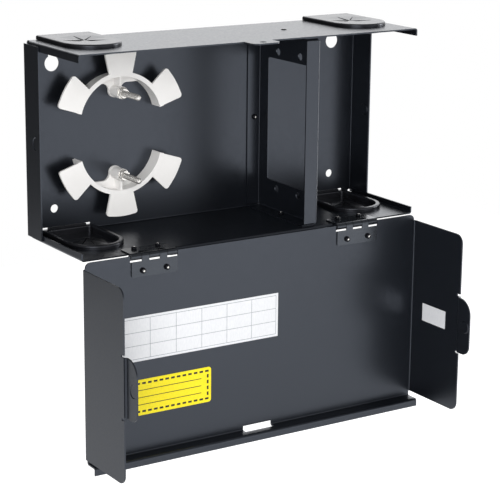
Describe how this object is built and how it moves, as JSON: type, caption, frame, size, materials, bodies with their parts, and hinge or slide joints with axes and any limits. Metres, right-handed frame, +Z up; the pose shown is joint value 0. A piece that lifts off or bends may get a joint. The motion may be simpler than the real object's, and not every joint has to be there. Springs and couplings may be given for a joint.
{
  "type": "wall mount fibre enclosure",
  "caption": "Black sheet-steel wall box for fibre splicing and patching, with a drop-down door on hinges, slit cable grommets, white fibre guides and an adapter-plate bracket.",
  "frame": {"origin": "middle of the back panel's rear face, on the wall", "axes": "+X to the right as seen from the room, +Y into the wall, +Z up"},
  "size_m": [0.3282, 0.1805, 0.3393],
  "materials": {
    "coat": "satin powder coat",
    "hinge": "satin black",
    "rivet": "satin black",
    "rubber": "matt",
    "guide": "moulded satin",
    "steel": "zinc plated",
    "white_label": "printed film",
    "yellow_label": "printed film"
  },
  "bodies": {
    "base": {"base_shell": "coat", "adapter_bracket": "coat", "bracket_rivets": "rivet", "top_right_grommet": "rubber", "top_left_grommet": "rubber", "bottom_right_grommet": "rubber", "bottom_left_grommet": "rubber", "upper_fibre_guide": "guide", "lower_fibre_guide": "guide", "upper_stud": "steel", "lower_stud": "steel", "upper_nut": "steel", "lower_nut": "steel", "right_hinge_base_leaf": "hinge", "left_hinge_base_leaf": "hinge", "right_hinge_pin": "hinge", "left_hinge_pin": "hinge", "hinge_base_rivets": "rivet"},
    "door": {"door_panel": "coat", "right_hinge_door_leaf": "hinge", "left_hinge_door_leaf": "hinge", "hinge_door_rivets": "rivet", "record_label": "white_label", "notice_label": "yellow_label", "flap_label": "white_label"}
  },
  "joints": [
    {"name": "door_hinge", "type": "hinge", "parent": "base", "child": "door", "pos_m": [0, -0.0971, -0.0822], "axis": [-1, 0, 0], "range_deg": [0, 180]}
  ]
}
